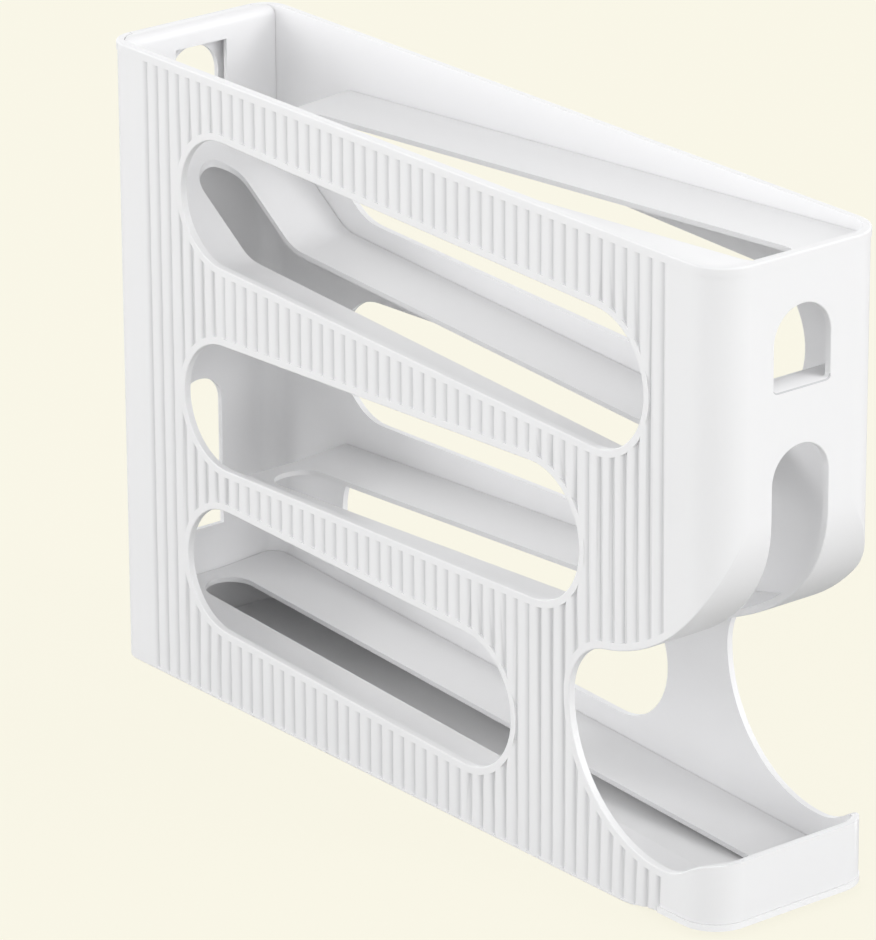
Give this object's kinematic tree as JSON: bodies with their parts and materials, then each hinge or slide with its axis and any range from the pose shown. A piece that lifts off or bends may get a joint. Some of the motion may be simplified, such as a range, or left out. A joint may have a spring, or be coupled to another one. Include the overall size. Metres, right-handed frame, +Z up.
{
  "type": "egg dispenser",
  "caption": "White ribbed free-standing egg holder with sloping tracks stacked in one narrow housing, side and end windows, and an open tray at the foot of the front.",
  "frame": {"origin": "middle of the footprint on the ground plane", "axes": "+X to the open tray at the front, +Z up, Y across the narrow width"},
  "size_m": [0.364, 0.0816, 0.2597],
  "materials": {
    "shell": "satin white",
    "track": "smooth white"
  },
  "bodies": {
    "root": {"housing": "shell", "back_panel": "shell", "base_plate": "shell", "top_track": "track", "second_track": "track", "third_track": "track", "bottom_track": "track"}
  },
  "joints": []
}
